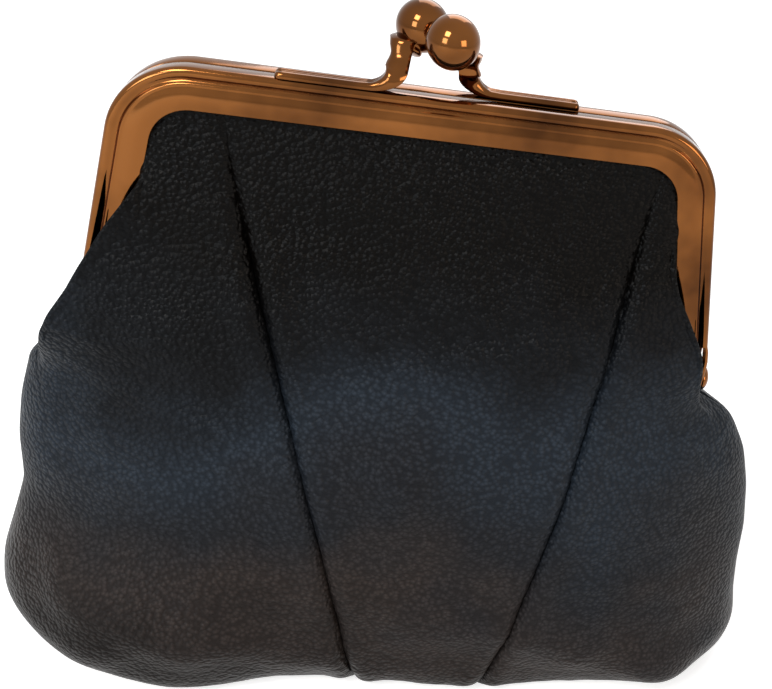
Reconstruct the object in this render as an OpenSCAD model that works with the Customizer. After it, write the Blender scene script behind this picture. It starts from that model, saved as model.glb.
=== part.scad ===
// Kiss lock frame purse, shut, standing on its bottom.
// X runs along the frame, the front faces -Y, and Z is up from the floor.
// The origin is on the floor, under the middle of the parting plane.

/* [Frame] */
// Width over both legs, at the hinge axis
frame_w = 105; // [96:1:120]
// Height of the frame above the hinge axis
frame_h = 45; // [41:1:52]
// Angle that each leg leans outward, in degrees
leg_splay = 11; // [6:1:13]
// Outer radius of the two upper corners
corner_r = 12.5; // [11:0.5:16]
// Width of the broad face, from the outer rim to the inner edge
face_w = 6.3; // [5.6:0.1:7.5]
// Depth of one frame, from the parting plane to its face
channel_d = 3.5; // [3.2:0.1:4.5]
// Thickness of the frame's sheet metal
sheet_t = 0.6; // [0.5:0.05:0.8]
// Radius of the rolled rim
rim_r = 0.8; // [0.6:0.05:0.9]
// Gap from each frame to the parting plane
part_gap = 0.15; // [0.1:0.05:0.3]

/* [Hinge] */
// Height of the hinge axis above the floor
hinge_z = 64; // [58:1:72]
// Height of the channel's cut end above the hinge axis
channel_end = 8; // [7:0.5:10]
// Radius of the round end of a hinge tab
tab_r = 2.4; // [2.1:0.1:2.8]
// Diameter of the rivet's shank
rivet_d = 2.4; // [2:0.1:2.6]
// Diameter of the rivet's domed head
rivet_head_d = 4.7; // [4.4:0.1:5.4]
// Height of the domed head
rivet_head_h = 1.4; // [1:0.1:1.8]
// Radial clearance of the front tab on the shank
rivet_play = 0.05; // [0.02:0.01:0.09]
// Gap between the two tabs, and between tab and head
tab_gap = 0.1; // [0.05:0.05:0.15]

/* [Clasp] */
// Diameter of a clasp ball
ball_d = 7.8; // [7:0.2:8.6]
// Height of a ball's centre above the frame's top
ball_lift = 8.6; // [8:0.2:10]
// Distance along the frame between the two balls' centres
ball_pitch = 4.4; // [3.6:0.2:6]
// Gap left between the two balls when the clasp is shut
ball_gap = 0.2; // [0.1:0.05:0.4]
// Length of the strip that lies on the frame
foot_l = 13; // [10:0.5:16]
// Width of that strip
foot_w = 2.9; // [2.4:0.1:3.1]
// Crown of the strip above the frame
foot_crown = 1.0; // [0.8:0.1:1.2]
// Width of the half-tube neck, front to back
neck_w = 3.7; // [3.2:0.1:4]
// Depth of the half-tube neck, along the frame
neck_d = 3.3; // [2.6:0.1:3.6]
// Radius of the bend from strip to neck
bend_r = 2.4; // [2:0.1:3]

/* [Bag] */
// Widest width of the bag
bag_w = 134; // [122:1:144]
// Depth of the bag where it is fullest
bag_depth = 42; // [34:1:50]
// Height of the widest place above the floor
belly_z = 19; // [16:1:26]
// Width of the flat that the bag stands on
base_w = 98; // [84:1:106]
// Depth of the flat that the bag stands on
base_depth = 18; // [14:1:22]
// Width of the bag just under the hinges
shoulder_w = 106; // [104:1:112]
// How the front fills out under the frame, larger is fuller
fullness = 1.7; // [1.3:0.1:2.2]
// Thickness of the leather
leather_t = 1; // [0.8:0.1:1.1]
// Thickness of the lining
lining_t = 0.3; // [0.2:0.05:0.35]

/* [Seams] */
// Distance between the two seams of a face, at the frame
seam_top_w = 72; // [60:1:80]
// Distance between the two seams of a face, at the bottom
seam_base_w = 24; // [16:1:34]
// Depth of the dip along a seam
seam_dip = 0.5; // [0:0.1:0.8]

/* [Hidden] */
// Frame outline
frame_top = hinge_z + frame_h;
corner_z = frame_top - corner_r;
function leg_x(z) = frame_w / 2 - (z - hinge_z) * tan(leg_splay);
corner_x = leg_x(corner_z) - corner_r / cos(leg_splay);
leg_top_z = corner_z + corner_r * sin(leg_splay);
leg_l = (leg_top_z - hinge_z - channel_end) / cos(leg_splay);

// Half width at height z of the outline that lies n inside the frame's rim
function inset_x(z, n) =
    z <= corner_z + (corner_r - n) * sin(leg_splay)
        ? leg_x(z) - n / cos(leg_splay)
        : corner_x + sqrt(max(0, pow(corner_r - n, 2) - pow(z - corner_z, 2)));

// Channel section: n runs inward from the rim, y forward from the parting plane
edge_gap = 0.2;
face_y = channel_d - edge_gap;
wall_in_y = part_gap + sheet_t;
face_in_y = face_y - sheet_t;
rim_y = face_y - rim_r;
lip_n = 4.4;
notch_n = 1.75;
notch_deep = 0.3;
ridge_n = 2.15;
face_crown = 0.22;
edge_r = 0.25;
rim_edge = 0.35;
rim_turn = 118;
leg_ease = 0.01;
leg_lap = 0.1;

// Leather, lining and paper cord inside the channel
grip_gap = 0.02;
leather_y = face_in_y - grip_gap;
leather_in_y = leather_y - leather_t;
lining_gap = 0.12;
lining_y = leather_in_y - grip_gap;
lining_in_y = lining_y - lining_t;
cord_room = lining_in_y - grip_gap - wall_in_y;
cord_r = cord_room / 2;
cord_y = wall_in_y + cord_r;
cord_n = 1.7;
cord_back = 1;
grip_n = 1.3;
bulge_n = face_w + 0.7;

// Hinge planes, along X
tab_t = sheet_t;
tab_bend = 4;
tab_seat = 0.08;
tab_y = rim_y - 0.1;
rear_tab_x = leg_x(hinge_z) - 1.9;
front_tab_x = rear_tab_x + tab_t + tab_gap;
head_x = front_tab_x + tab_t + tab_gap / 2;
tail_x = rear_tab_x - tab_gap / 2;
tail_t = 0.65;
tail_r = 2;

// Clasp
ball_r = ball_d / 2;
ball_x = ball_pitch / 2;
ball_y = sqrt(pow(ball_r + ball_gap / 2, 2) - pow(ball_x, 2));
ball_z = frame_top + ball_lift;
foot_y = (part_gap + channel_d - rim_r / 2) / 2;
neck_hollow = 1.6;

// Bag surface
half_w = bag_w / 2;
half_d = bag_depth / 2;
fold_r = 22;
cut_gap = 0.15;
mouth_z = frame_top - bulge_n;
shoulder_z = hinge_z - 6;
throat_z = hinge_z - tab_r - 1.2;
leg_gap = 0.5;
plump_x = 2.7;
plump_y = 0.62;
side_turn = 14;

// Front-to-back half depth at height z, above the belly
function depth_at(z) =
    leather_y + (half_d - leather_y) * (1 - pow(min(1, (z - belly_z) / (mouth_z - belly_z)), fullness));

// Half width of the lower bag at height z, above the belly
function width_at(z) =
    z >= throat_z ? inset_x(z, face_w + leg_gap) :
    z >= shoulder_z
        ? inset_x(throat_z, face_w + leg_gap) + (shoulder_w / 2 - inset_x(throat_z, face_w + leg_gap))
            * sqrt(1 - pow((z - shoulder_z) / (throat_z - shoulder_z), 2))
        : shoulder_w / 2 + (half_w - shoulder_w / 2)
            * (1 - pow((z - belly_z) / (shoulder_z - belly_z), 2));

// Share of the depth at a share s of the half width
function plump(s) = pow(max(0, 1 - pow(min(1, abs(s)), plump_x)), plump_y);

// Share of the depth at height z and width w. Between the legs it runs on full and turns in at
// the legs' inner edges, by the part m that is left of the change from the shoulder upward.
function spread(s, z, w, m) =
    (1 - m) * plump(s)
        + m * plump(s * min(1, w / leg_x(z))) * sqrt(max(0, 1 - pow(min(1, abs(s)), side_turn)));
function wall_part(z) = min(1, max(0, (z - shoulder_z) / (throat_z - shoulder_z)));
function yoke_part(z) = min(1, max(0, (mouth_z - z) / (mouth_z - hinge_z - fold_r)));

// Dip that a seam leaves, by distance from it
function dip_at(d) = seam_dip * exp(-pow(d / 1.6, 2));

// Half distance between the seams at height z
function seam_x(z) =
    seam_base_w / 2 + (seam_top_w - seam_base_w) / 2 * pow(max(0, z) / mouth_z, 0.9);

// Rows of the lower bag: half depth, half width, height, and the normal's two parts
base_rows = [for (k = [0, 1]) [k * base_depth / 2, base_w / 2 - 2 + 2 * k, 0, 0, 1]];
turn_steps = 5;
turn_rows = [
    for (i = [1 : turn_steps])
        let (
            a = 90 * i / turn_steps,
            dd = (half_d - base_depth / 2) * cos(a),
            dz = belly_z * sin(a),
            l = sqrt(dd * dd + dz * dz)
        )
        [
            base_depth / 2 + (half_d - base_depth / 2) * sin(a),
            base_w / 2 + (half_w - base_w / 2) * sin(a),
            belly_z * (1 - cos(a)), dz / l, dd / l
        ]
];
side_steps = 5;
side_zs = [
    for (i = [1 : side_steps]) belly_z + (shoulder_z - belly_z) * i / side_steps,
    for (a = [35, 65, 90]) shoulder_z + (throat_z - shoulder_z) * sin(a),
    hinge_z + 3,
    hinge_z + 11
];
side_rows = [
    for (z = side_zs)
        let (dd = depth_at(z + 0.5) - depth_at(z - 0.5), l = sqrt(dd * dd + 1))
        [depth_at(z), width_at(z), z, 1 / l, dd / l]
];
wall_rows = concat(base_rows, turn_rows, side_rows);

// A point of the lower bag at row r and width share s, set in by the depth t
function wall_point(r, s, t) =
    let (
        z = r[2] + t * r[4],
        x = s * (r[1] - t * (r[2] > 0 ? max(0.4, r[3]) : 1)),
        k = spread(s, r[2], r[1], wall_part(r[2]))
    )
    [x, -max(0, r[0] - t * r[3]) * k + (r[0] > 0 ? dip_at(abs(x) - seam_x(z)) * k : 0), z];

// The same on the bag's top row, which is cut on a cylinder round the hinge axis
function cut_point(s, t) =
    let (
        r = fold_r - cut_gap,
        z = hinge_z + r - 1.5,
        x = s * (width_at(z) - t),
        y = (depth_at(z) - t - dip_at(abs(x) - seam_x(z))) * spread(s, z, width_at(z), 1)
    )
    [x, -y, hinge_z + sqrt(r * r - y * y)];

// Width share of column i on a row at height z, from the left side seam to the right one
side_cols = 8;
mid_cols = 12;
all_cols = 2 * side_cols + mid_cols;
function share(i, z, w) =
    let (e = min(0.97, seam_x(z) / w))
    i < side_cols ? -1 + (1 - e) * (1 - cos(90 * i / side_cols)) :
    i > side_cols + mid_cols ? -share(all_cols - i, z, w) :
    e * (2 * (i - side_cols) / mid_cols - 1);

// One face of the lower bag between two columns, as rows of points
function wall_grid(first, last, t) = concat(
    [for (r = wall_rows) [for (i = [first : last]) wall_point(r, share(i, r[2], r[1]), t)]],
    [[for (i = [first : last]) cut_point(share(i, hinge_z + fold_r, width_at(hinge_z + fold_r)), t)]]
);

// A point of the leather above the cut: row height z, width x, depth set back by t
function yoke_y(x, z) =
    let (
        w = inset_x(min(z, mouth_z - 0.01), bulge_n),
        s = x / w,
        b = z < mouth_z - 0.005 && abs(s) < 1
    )
    b
        ? leather_y + (depth_at(z) - leather_y - dip_at(abs(x) - seam_x(z))) * spread(s, z, w, yoke_part(z))
        : leather_y;
yoke_zs = [
    for (k = [0.22, 0.4, 0.58, 0.74, 0.88, 1]) hinge_z + fold_r + (mouth_z - hinge_z - fold_r) * k,
    (mouth_z + frame_top - grip_n) / 2,
    frame_top - grip_n - 0.7
];
yoke_cols = 16;
function yoke_x(z, i) =
    let (inner = z < mouth_z - 0.01 ? inset_x(z, bulge_n) : corner_x, outer = inset_x(z, grip_n))
    i == 0 ? -outer :
    i == yoke_cols + 2 ? outer :
    inner * sin(180 * (i - 1) / yoke_cols - 90);
function yoke_row(z, t) = [for (i = [0 : yoke_cols + 2]) let (x = yoke_x(z, i)) [x, -yoke_y(x, z) + t, z]];
function yoke_cut(t) =
    let (z0 = hinge_z + fold_r + cut_gap)
    [
        for (i = [0 : yoke_cols + 2])
            let (x = yoke_x(z0, i), y = yoke_y(x, z0) - t)
            [x, -y, hinge_z + sqrt(pow(fold_r + cut_gap, 2) - y * y)]
    ];
function yoke_grid(t) = concat([yoke_cut(t)], [for (z = yoke_zs) yoke_row(z, t)]);

metal = [0.80, 0.79, 0.76];
dark_leather = [0.09, 0.09, 0.11];
cloth = [0.28, 0.26, 0.27];
paper = [0.78, 0.68, 0.50];
round_fn = 64;

// Closed sheet between two grids of points that have the same rows and columns. The faces' diagonals
// lean one way up to column mid and the other way after it.
module sheet(outer, inner, mid) {
    rows = len(outer);
    cols = len(outer[0]);
    n = rows * cols;
    points = concat([for (r = outer) each r], [for (r = inner) each r]);
    function at(side, r, c) = side * n + r * cols + c;
    function turn(q, c) = c < mid ? q : [q[1], q[2], q[3], q[0]];
    quads = concat(
        [for (r = [0 : rows - 2], c = [0 : cols - 2])
            turn([at(0, r, c), at(0, r + 1, c), at(0, r + 1, c + 1), at(0, r, c + 1)], c)],
        [for (r = [0 : rows - 2], c = [0 : cols - 2])
            turn([at(1, r, c), at(1, r, c + 1), at(1, r + 1, c + 1), at(1, r + 1, c)], c)],
        [for (r = [0 : rows - 2]) [at(0, r, 0), at(1, r, 0), at(1, r + 1, 0), at(0, r + 1, 0)]],
        [for (r = [0 : rows - 2])
            [at(0, r, cols - 1), at(0, r + 1, cols - 1), at(1, r + 1, cols - 1), at(1, r, cols - 1)]],
        [for (c = [0 : cols - 2]) [at(0, 0, c), at(0, 0, c + 1), at(1, 0, c + 1), at(1, 0, c)]],
        [for (c = [0 : cols - 2])
            [at(0, rows - 1, c), at(1, rows - 1, c), at(1, rows - 1, c + 1), at(0, rows - 1, c + 1)]]
    );
    triangles = [for (q = quads) each [[q[0], q[1], q[2]], [q[0], q[2], q[3]]]];
    polyhedron(points, triangles);
}

// Channel section, as drawn: radius from the corner's centre, height toward the front
arc_steps = 8;
section_out = concat(
    [[lip_n, part_gap], [rim_edge, part_gap], [0, part_gap + rim_edge]],
    [for (i = [0 : arc_steps])
        let (a = 180 - rim_turn * i / arc_steps) [rim_r + rim_r * cos(a), rim_y + rim_r * sin(a)]],
    [[notch_n, face_y - notch_deep]],
    [for (i = [0 : arc_steps])
        let (k = i / arc_steps)
        [ridge_n + (face_w - edge_r - ridge_n) * k, face_y + face_crown * sin(180 * k)]],
    [[face_w, face_y - edge_r]]
);
section_in = [
    [face_w - edge_r / 2, face_in_y], [sheet_t + rim_edge, face_in_y], [sheet_t, face_in_y - rim_edge],
    [sheet_t, wall_in_y + rim_edge], [sheet_t + rim_edge, wall_in_y], [lip_n, wall_in_y]
];
section = [for (p = concat(section_out, section_in)) [corner_r - p[0], p[1]]];

// Points of a closed outline moved inward by e, for an outline that runs counterclockwise
function eased(points, e) =
    let (n = len(points))
    [
        for (i = [0 : n - 1])
            let (
                d1 = points[i] - points[(i + n - 1) % n],
                d2 = points[(i + 1) % n] - points[i],
                n1 = [-d1[1], d1[0]] / norm(d1),
                n2 = [-d2[1], d2[0]] / norm(d2)
            )
            points[i] + e * (n1 + n2) / (1 + n1 * n2)
    ];

// Frame sweep of two sections drawn round the corner's centre, the second for the legs. Each leg
// is a hair thinner than its corner and laps into it, so that no two faces lie on one another.
module along_frame(leg) {
    for (m = [0, 1])
        mirror([m, 0, 0])
            translate([corner_x, 0, corner_z])
                rotate([90, 0, 0]) {
                    rotate_extrude(angle = 90 - leg_splay, start = leg_splay, $fn = round_fn)
                        children(0);
                    rotate([0, 0, leg_splay])
                        translate([0, leg_lap, 0])
                            rotate([90, 0, 0])
                                linear_extrude(leg + leg_lap)
                                    children(1);
                }
    translate([-corner_x, 0, corner_z])
        rotate([0, -90, 0])
            rotate([0, 0, 180])
                mirror([0, 0, 1])
                    linear_extrude(2 * corner_x)
                        mirror([1, 0])
                            children(0);
}

// Hinge tab at the right leg, in the plane that starts at x0, for the front frame
module hinge_tab(x0) {
    top = hinge_z + channel_end + 4;
    meet = hinge_z + channel_end + 0.6;
    function seat_x(z, n) = leg_x(z) - (tab_seat + n) / cos(leg_splay);
    intersection() {
        rotate([90, 0, 0])
            linear_extrude(4 * channel_d, center = true)
                polygon([
                    [x0, hinge_z - 2 * tab_r], [x0 + tab_t, hinge_z - 2 * tab_r],
                    [x0 + tab_t, hinge_z + tab_bend], [seat_x(meet, 0), meet], [seat_x(top, 0), top],
                    [seat_x(top, tab_t), top], [seat_x(meet, tab_t), meet], [x0, hinge_z + tab_bend]
                ]);
        rotate([90, 0, 90])
            linear_extrude(frame_w) {
                translate([0, hinge_z])
                    circle(tab_r, $fn = round_fn);
                polygon([
                    [-tab_r, hinge_z], [tab_r, hinge_z],
                    [-2 * part_gap, hinge_z + 0.9 * tab_bend], [-2 * part_gap, top],
                    [-tab_y, top], [-tab_y, hinge_z + channel_end - 2]
                ]);
            }
    }
}

// Hole through both tabs of one frame
module tab_holes(r) {
    translate([0, 0, hinge_z])
        rotate([0, 90, 0])
            cylinder(h = 2 * frame_w, r = r, center = true, $fn = round_fn);
}

// One frame with its channel on the front side
module frame_body(tab_x, hole_r) {
    difference() {
        union() {
            along_frame(leg_l) {
                polygon(section);
                polygon(eased(section, leg_ease));
            }
            hinge_tab(tab_x);
            mirror([1, 0, 0])
                hinge_tab(tab_x);
        }
        tab_holes(hole_r);
    }
}

module front_frame() {
    color(metal)
        frame_body(front_tab_x, rivet_d / 2 + rivet_play);
}

module rear_frame() {
    color(metal)
        turned()
            frame_body(rear_tab_x, rivet_d / 2);
}

// Rivet at the right hinge: shank, domed head outside, flat tail inside
module hinge_rivet() {
    dome_r = (pow(rivet_head_d / 2, 2) + pow(rivet_head_h, 2)) / (2 * rivet_head_h);
    color(metal)
        translate([0, 0, hinge_z])
            rotate([0, 90, 0]) {
                translate([0, 0, tail_x - tail_t])
                    cylinder(h = tail_t, r = tail_r, $fn = round_fn);
                translate([0, 0, tail_x])
                    cylinder(h = head_x - tail_x, r = rivet_d / 2, $fn = round_fn);
                intersection() {
                    translate([0, 0, head_x + rivet_head_h - dome_r])
                        sphere(dome_r, $fn = round_fn);
                    translate([0, 0, head_x])
                        cylinder(h = 2 * rivet_head_h, r = rivet_head_d, $fn = round_fn);
                }
            }
}

// Clasp arm stations: place, tilt of the section, width, crown and hollow
neck_side = -ball_x - 1.4;
foot_end = neck_side - neck_d - bend_r;
bend_h = foot_crown + bend_r;
neck_top = ball_z - ball_r / 2;
neck_top_y = ball_y - ball_r / 3;
arm_steps = 6;
neck_steps = 3;
function arm_y(z) =
    -foot_y + (neck_top_y + foot_y)
        * pow(max(0, (z - frame_top - foot_crown) / (neck_top - frame_top - foot_crown)), 1.2);
function arm_foot(k, w) = [[foot_end - foot_l * k, -foot_y, frame_top], 0, w, foot_crown, 0];
function arm_bend(a) =
    let (z = frame_top + bend_h * (1 - cos(a)), k = pow(sin(a), 1.5))
    [
        [foot_end + (bend_r + neck_d) * sin(a), arm_y(z), z], a,
        foot_w + (neck_w - foot_w) * k, foot_crown + (neck_d - foot_crown) * k, neck_hollow * pow(sin(a), 4)
    ];
function arm_neck(k) =
    let (z = frame_top + bend_h + (neck_top - frame_top - bend_h) * k)
    [[neck_side + 0.5 * k, arm_y(z), z], 90, neck_w - 0.3 * k, neck_d - 0.2 * k, neck_hollow];
arm_stations = concat(
    [arm_foot(1, foot_w * 0.55), arm_foot(0.96, foot_w * 0.88), arm_foot(0.9, foot_w), arm_foot(0, foot_w)],
    [for (i = [1 : arm_steps]) arm_bend(90 * i / arm_steps)],
    [for (i = [1 : neck_steps]) arm_neck(i / neck_steps)]
);
arm_arc = 8;
function arm_ring(s) =
    let (p = s[0], c = cos(s[1]), n = sin(s[1]), w = s[2] / 2)
    concat(
        [for (i = [0 : arm_arc])
            let (b = 90 - 180 * i / arm_arc, u = w * sin(b), v = s[3] * cos(b) + 0.12)
            [p[0] - v * n, p[1] + u, p[2] + v * c]],
        [for (i = [0 : arm_arc])
            let (b = -90 + 180 * i / arm_arc, u = 0.96 * w * sin(b), v = s[4] * cos(b))
            [p[0] - v * n, p[1] + u, p[2] + v * c]]
    );

// Clasp arm of the front frame: a strip on the frame that sweeps up into a half tube
module clasp_arm() {
    rings = [for (s = arm_stations) arm_ring(s)];
    m = len(rings[0]);
    last = len(rings) - 1;
    walls = [
        for (r = [0 : last - 1], c = [0 : m - 1])
            let (d = (c + 1) % m)
            each [
                [r * m + c, (r + 1) * m + c, (r + 1) * m + d],
                [r * m + c, (r + 1) * m + d, r * m + d]
            ]
    ];
    half = m / 2;
    function lid(base) = [
        for (c = [0 : half - 2])
            each [
                [base + c, base + c + 1, base + m - 2 - c],
                [base + c, base + m - 2 - c, base + m - 1 - c]
            ]
    ];
    flipped = [for (f = lid(last * m)) [f[0], f[2], f[1]]];
    color(metal)
        difference() {
            polyhedron([for (r = rings) each r], concat(walls, lid(0), flipped));
            translate([-ball_x, ball_y, ball_z])
                sphere(ball_r, $fn = round_fn);
        }
}

module clasp_ball() {
    color(metal)
        translate([-ball_x, ball_y, ball_z])
            sphere(ball_r, $fn = round_fn);
}

module cord_section(r) {
    translate([corner_r - cord_n, cord_y])
        circle(r, $fn = round_fn);
}

module paper_cord() {
    color(paper)
        along_frame(leg_l - cord_back) {
            cord_section(cord_r);
            cord_section(cord_r - leg_ease);
        }
}

module upper_leather() {
    color(dark_leather)
        sheet(yoke_grid(0), yoke_grid(leather_t), yoke_cols / 2 + 1);
}

module upper_lining() {
    color(cloth)
        sheet(
            yoke_grid(leather_t + grip_gap),
            yoke_grid(leather_t + grip_gap + lining_t),
            yoke_cols / 2 + 1
        );
}

module center_panel() {
    first = side_cols;
    last = side_cols + mid_cols;
    color(dark_leather)
        sheet(wall_grid(first, last, 0), wall_grid(first, last, leather_t), mid_cols / 2);
}

module left_panel() {
    color(dark_leather)
        sheet(wall_grid(0, side_cols, 0), wall_grid(0, side_cols, leather_t), side_cols);
}

module bag_lining() {
    set_in = leather_t + lining_gap;
    color(cloth)
        sheet(wall_grid(0, all_cols, set_in), wall_grid(0, all_cols, set_in + lining_t), all_cols / 2);
}

// Turns a front piece half a turn about Z, as the rear frame and clasp are the front ones turned
module turned() {
    rotate([0, 0, 180])
        children();
}

// Mirrors a front piece to the rear
module to_rear() {
    mirror([0, 1, 0])
        children();
}

front_frame();
clasp_arm();  // front_clasp_arm
clasp_ball();  // front_clasp_ball
paper_cord();  // front_paper_cord
upper_leather();  // front_upper_leather
upper_lining();  // front_upper_lining
rear_frame();
turned() clasp_arm();  // rear_clasp_arm
turned() clasp_ball();  // rear_clasp_ball
to_rear() paper_cord();  // rear_paper_cord
to_rear() upper_leather();  // rear_upper_leather
to_rear() upper_lining();  // rear_upper_lining
mirror([1, 0, 0]) hinge_rivet();  // left_hinge_rivet
hinge_rivet();  // right_hinge_rivet
center_panel();  // front_center_panel
left_panel();  // front_left_panel
mirror([1, 0, 0]) left_panel();  // front_right_panel
to_rear() center_panel();  // rear_center_panel
to_rear() left_panel();  // rear_left_panel
to_rear() mirror([1, 0, 0]) left_panel();  // rear_right_panel
bag_lining();  // front_lining
to_rear() bag_lining();  // rear_lining
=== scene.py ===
import logging
import math
from collections.abc import Callable
from dataclasses import dataclass, field
from enum import Enum

import bmesh
import bpy
import numpy as np
from mathutils import Matrix, Vector, noise


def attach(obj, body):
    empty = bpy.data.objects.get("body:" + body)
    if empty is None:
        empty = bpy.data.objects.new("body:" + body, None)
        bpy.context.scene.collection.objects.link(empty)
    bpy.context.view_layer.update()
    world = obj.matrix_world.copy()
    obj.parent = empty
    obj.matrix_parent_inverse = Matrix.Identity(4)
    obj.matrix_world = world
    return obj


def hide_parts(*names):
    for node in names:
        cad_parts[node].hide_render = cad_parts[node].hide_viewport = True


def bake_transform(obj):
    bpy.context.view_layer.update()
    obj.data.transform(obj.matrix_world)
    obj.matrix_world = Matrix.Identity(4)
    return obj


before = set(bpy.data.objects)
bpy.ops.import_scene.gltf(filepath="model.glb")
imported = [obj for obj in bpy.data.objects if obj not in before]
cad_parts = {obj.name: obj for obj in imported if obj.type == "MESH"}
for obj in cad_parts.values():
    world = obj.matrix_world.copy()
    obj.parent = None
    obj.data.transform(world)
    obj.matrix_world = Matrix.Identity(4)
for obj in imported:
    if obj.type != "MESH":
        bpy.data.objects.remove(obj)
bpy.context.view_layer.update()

LOG = logging.getLogger("purse")
MM = 0.001
Triple = tuple[float, float, float]
Socket = bpy.types.NodeSocket


class Face(Enum):
    """The two faces of the purse, by the sign of Y on that side."""

    FRONT = -1
    REAR = 1


@dataclass(frozen=True)
class Outline:
    """Sizes of the frame, in millimetres, as the CAD model has them."""

    width: float = 105.0
    hinge_z: float = 64.0
    top_z: float = 109.0
    splay: float = math.radians(11.0)
    corner_r: float = 12.5
    face_w: float = 6.3
    face_y: float = 3.3
    gap: float = 0.15
    sheet: float = 0.6
    channel_end: float = 8.0

    @property
    def corner_z(self) -> float:
        """Height of the upper corners' centres."""
        return self.top_z - self.corner_r

    def leg_x(self, z: np.ndarray | float) -> np.ndarray | float:
        """Half width over the legs' rims at height z."""
        return self.width / 2 - (z - self.hinge_z) * math.tan(self.splay)

    @property
    def corner_x(self) -> float:
        """Half distance between the upper corners' centres."""
        return self.leg_x(self.corner_z) - self.corner_r / math.cos(self.splay)

    def inset_x(self, z: np.ndarray, n: float) -> np.ndarray:
        """Half width of the line that lies inside the rim.

        Args:
            z: Heights.
            n: Distance from the rim.

        Returns:
            The half widths at those heights.
        """
        z = np.asarray(z, float)
        leg = self.leg_x(z) - n / math.cos(self.splay)
        radius = self.corner_r - n
        arc = self.corner_x + np.sqrt(np.maximum(0.0, radius**2 - (z - self.corner_z) ** 2))
        return np.where(z <= self.corner_z + radius * math.sin(self.splay), leg, arc)


OUTLINE = Outline()


class Tree:
    """A material under construction."""

    def __init__(self, name: str) -> None:
        """Starts a material of that name with only a Principled shader."""
        self.material = bpy.data.materials.new(name)
        self.material.use_nodes = True
        self.nodes = self.material.node_tree.nodes
        self.links = self.material.node_tree.links
        self.shader = self.nodes["Principled BSDF"]
        self.where = self.nodes.new("ShaderNodeTexCoord")

    def put(self, **values: object) -> None:
        """Sets the shader's own sockets, written with _ for a space."""
        for key, value in values.items():
            self.shader.inputs[key.replace("_", " ")].default_value = value

    def node(self, kind: str, settings: dict | None = None, inputs: dict | None = None) -> bpy.types.Node:
        """Adds a node.

        Args:
            kind: Its type, without the ShaderNode prefix.
            settings: Properties of the node.
            inputs: Values or sockets for its inputs, by name or number.

        Returns:
            The node.
        """
        made = self.nodes.new("ShaderNode" + kind)
        for key, value in (settings or {}).items():
            setattr(made, key, value)
        for key, value in (inputs or {}).items():
            if isinstance(value, Socket):
                self.links.new(value, made.inputs[key])
            else:
                made.inputs[key].default_value = value
        return made

    def place(self, scale: Triple = (1.0, 1.0, 1.0), turn: float = 0.0) -> Socket:
        """Object coordinates, stretched and turned about Y."""
        inputs = {"Vector": self.where.outputs["Object"], "Scale": scale, "Rotation": (0.0, turn, 0.0)}
        return self.node("Mapping", None, inputs).outputs["Vector"]

    def clouds(
        self, scale: float, detail: float = 3.0, rough: float = 0.5, vector: Socket | None = None
    ) -> Socket:
        """A noise pattern's value."""
        spot = vector or self.where.outputs["Object"]
        inputs = {"Vector": spot, "Scale": scale, "Detail": detail, "Roughness": rough}
        return self.node("TexNoise", None, inputs).outputs["Fac"]

    def cells(self, feature: str, vector: Socket, scale: float, **more: float) -> Socket:
        """A Voronoi pattern's distance."""
        inputs = {"Vector": vector, "Scale": scale, "Randomness": 1.0, **more}
        return self.node("TexVoronoi", {"feature": feature}, inputs).outputs["Distance"]

    def bands(self, direction: str, scale: float, distortion: float, **more: float) -> Socket:
        """A pattern of waving bands across one direction."""
        settings = {"wave_type": "BANDS", "bands_direction": direction}
        spot = self.where.outputs["Object"]
        inputs = {"Vector": spot, "Scale": scale, "Distortion": distortion, **more}
        return self.node("TexWave", settings, inputs).outputs["Fac"]

    def remap(self, value: Socket, source: tuple[float, float], result: tuple[float, float]) -> Socket:
        """Maps a value from one range to another."""
        ends = {"From Min": source[0], "From Max": source[1], "To Min": result[0], "To Max": result[1]}
        return self.node("MapRange", None, {"Value": value, **ends}).outputs["Result"]

    def ramp(self, value: Socket, stops: list[tuple[float, Triple]]) -> Socket:
        """A colour ramp from a value through the stops."""
        made = self.node("ValToRGB", None, {"Fac": value})
        band = made.color_ramp.elements
        while len(band) < len(stops):
            band.new(0.5)
        for spot, (at, shade) in zip(band, stops):
            spot.position = at
            spot.color = (*shade, 1.0)
        return made.outputs["Color"]

    def sums(self, how: str, first: object, second: object) -> Socket:
        """A math node's result."""
        return self.node("Math", {"operation": how}, {0: first, 1: second}).outputs[0]

    def bump(
        self, height: Socket, depth: float, strength: float = 1.0, below: Socket | None = None
    ) -> Socket:
        """A bump of that depth in metres, over another one if given."""
        inputs: dict = {"Height": height, "Distance": depth, "Strength": strength}
        if below is not None:
            inputs["Normal"] = below
        return self.node("Bump", None, inputs).outputs["Normal"]

    def join(self, socket: Socket, name: str) -> None:
        """Links a socket to an input of the shader."""
        self.links.new(socket, self.shader.inputs[name])


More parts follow.
